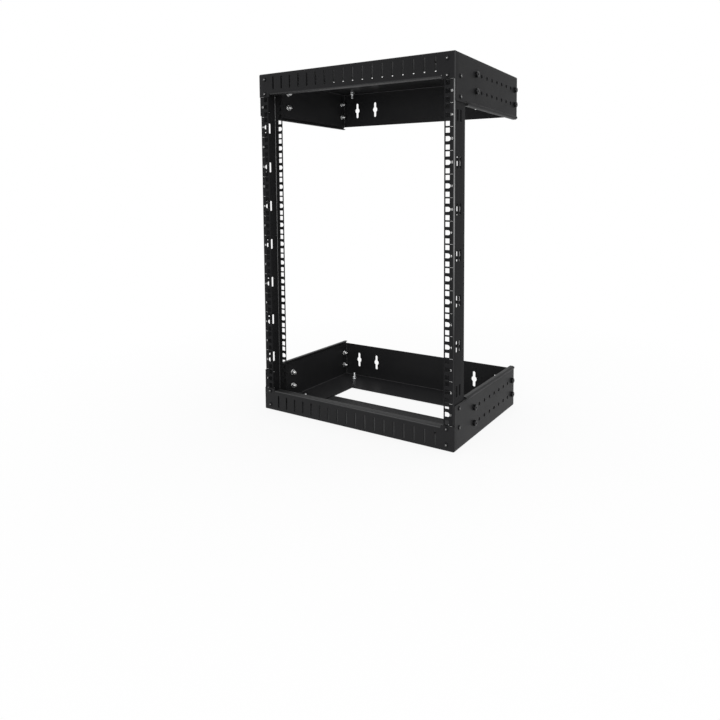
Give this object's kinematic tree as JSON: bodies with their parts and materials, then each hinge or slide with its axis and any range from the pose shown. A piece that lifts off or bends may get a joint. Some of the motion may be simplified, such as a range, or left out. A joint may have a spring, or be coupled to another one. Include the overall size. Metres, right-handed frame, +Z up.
{
  "type": "open frame rack",
  "caption": "Open frame equipment rack: two rails with square holes between folded sheet trays that set the depth and hang on a wall.",
  "frame": {"origin": "centre of the footprint, on the bottom tray's underside", "axes": "+X to the right, +Y to the back, towards the wall, +Z up; the slotted beams and the rails' hole columns face -Y"},
  "size_m": [0.5104, 0.3068, 0.7688],
  "materials": {
    "powder_coat": "satin black powder coat",
    "black_screws": "semi gloss black",
    "zinc": "bright zinc"
  },
  "bodies": {
    "root": {"bottom_front_frame": "powder_coat", "bottom_rear_frame": "powder_coat", "bottom_left_depth_bolts": "black_screws", "bottom_left_depth_washers": "black_screws", "bottom_left_depth_nuts": "zinc", "bottom_left_arm_screws": "black_screws", "bottom_right_depth_bolts": "black_screws", "bottom_right_depth_washers": "black_screws", "bottom_right_depth_nuts": "zinc", "bottom_right_arm_screws": "black_screws", "bottom_floor_screws": "zinc", "bottom_floor_nuts": "zinc", "bottom_beam_screws": "black_screws", "top_front_frame": "powder_coat", "top_rear_frame": "powder_coat", "top_left_depth_bolts": "black_screws", "top_left_depth_washers": "black_screws", "top_left_depth_nuts": "zinc", "top_left_arm_screws": "black_screws", "top_right_depth_bolts": "black_screws", "top_right_depth_washers": "black_screws", "top_right_depth_nuts": "zinc", "top_right_arm_screws": "black_screws", "top_floor_screws": "zinc", "top_floor_nuts": "zinc", "top_beam_screws": "black_screws", "left_rail_front_flange": "powder_coat", "left_rail_web": "powder_coat", "left_rail_rear_flange": "powder_coat", "right_rail_front_flange": "powder_coat", "right_rail_web": "powder_coat", "right_rail_rear_flange": "powder_coat"}
  },
  "joints": []
}
